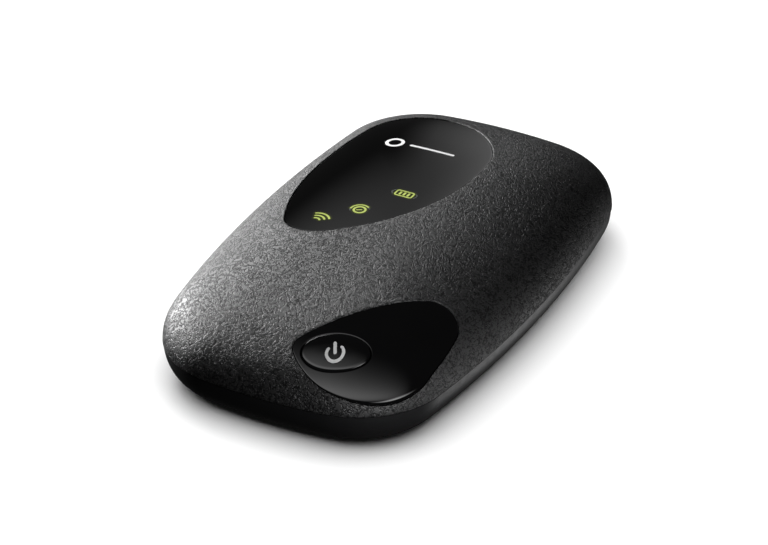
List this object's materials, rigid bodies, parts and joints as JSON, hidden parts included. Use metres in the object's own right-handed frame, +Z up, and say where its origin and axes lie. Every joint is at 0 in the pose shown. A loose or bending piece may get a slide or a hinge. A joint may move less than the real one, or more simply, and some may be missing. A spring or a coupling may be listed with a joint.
{
  "type": "mobile hotspot",
  "caption": "Pocket mobile hotspot: pebble-shaped case with gloss indicator window, power key, removable back cover, battery, subscriber card and charging port.",
  "frame": {"origin": "on the flat underside, below the middle of the outline", "axes": "+X to the right side, +Y towards the charging-port end, +Z up out of the underside"},
  "size_m": [0.0568, 0.094, 0.0198],
  "materials": {
    "grained_plastic": "fine leather grain, matt",
    "satin_plastic": "smooth satin",
    "gloss_black": "polished",
    "tape": "thin adhesive tape",
    "frame_plastic": "fine spark texture",
    "screw_steel": "zinc-plated",
    "board_laminate": "solder mask",
    "shield_metal": "tin-plated sheet",
    "chip_resin": "moulded resin",
    "ferrite": "sintered ferrite",
    "silicone": "soft pad",
    "lamp_resin": "clear resin lamp",
    "clear_plastic": "clear moulding",
    "carrier_plastic": "moulded",
    "antenna_foil": "plated foil",
    "connector_plastic": "moulded",
    "contact_gold": "gold-plated",
    "card_plastic": "smooth card",
    "battery_case": "smooth wrapped cell",
    "label_film": "blank label",
    "switch_button": "moulded"
  },
  "bodies": {
    "housing": {"battery_connector": "connector_plastic", "bay_label": "label_film", "diversity_antenna": "antenna_foil", "diversity_antenna_carrier": "carrier_plastic", "frame_screws": "screw_steel", "indicator_window": "gloss_black", "key_plate": "gloss_black", "light_guide": "clear_plastic", "light_shield": "frame_plastic", "main_antenna": "antenna_foil", "main_antenna_carrier": "carrier_plastic", "main_pcb": "board_laminate", "memory_chip": "chip_resin", "mid_frame": "frame_plastic", "modem_chip": "chip_resin", "modem_shield": "shield_metal", "plate_adhesive": "tape", "power_amplifiers": "chip_resin", "power_chip": "chip_resin", "power_inductors": "ferrite", "power_switch_body": "connector_plastic", "radio_chip": "chip_resin", "radio_shield": "shield_metal", "reset_switch_body": "connector_plastic", "sim_contacts": "contact_gold", "sim_socket_base": "connector_plastic", "sim_socket_shell": "shield_metal", "status_leds": "lamp_resin", "thermal_pad": "silicone", "upper_cover": "grained_plastic", "usb_contacts": "contact_gold", "usb_shell": "shield_metal", "usb_tongue": "connector_plastic", "wifi_antennas": "shield_metal", "wifi_chip": "chip_resin", "wifi_shield": "shield_metal", "window_adhesive": "tape"},
    "power_key": {"power_key": "gloss_black"},
    "power_plunger": {"power_switch_plunger": "switch_button"},
    "reset_plunger": {"reset_switch_plunger": "switch_button"},
    "back_cover": {"back_cover": "satin_plastic"},
    "battery": {"battery_pack": "battery_case", "battery_pads": "contact_gold", "battery_label": "label_film"},
    "battery_blades": {"battery_blades": "contact_gold"},
    "sim_card": {"sim_card": "card_plastic", "sim_pads": "contact_gold"}
  },
  "joints": [
    {"name": "power_key_press", "type": "slide", "parent": "housing", "child": "power_key", "axis": [0, 0, -1], "range_m": [0, 0.0003]},
    {"name": "power_switch_press", "type": "slide", "parent": "housing", "child": "power_plunger", "axis": [0, 0, -1], "range_m": [0, 0.0003]},
    {"name": "reset_press", "type": "slide", "parent": "housing", "child": "reset_plunger", "axis": [0, 0, 1], "range_m": [0, 0.0002]},
    {"name": "back_cover_removal", "type": "slide", "parent": "back_cover", "child": "housing", "axis": [0, 0, 1], "range_m": [0, 0.04]},
    {"name": "battery_removal", "type": "slide", "parent": "housing", "child": "battery", "axis": [0, 0, -1], "range_m": [0, 0.018]},
    {"name": "blade_compression", "type": "slide", "parent": "housing", "child": "battery_blades", "axis": [0, -1, 0], "range_m": [0, 0.0003]},
    {"name": "sim_card_slide", "type": "slide", "parent": "housing", "child": "sim_card", "axis": [-1, 0, 0], "range_m": [0, 0.012]}
  ],
  "couplings": [
    {"joint": "power_switch_press", "follows": "power_key_press", "ratio": 1},
    {"joint": "battery_removal", "follows": "back_cover_removal", "ratio": 0.45}
  ]
}
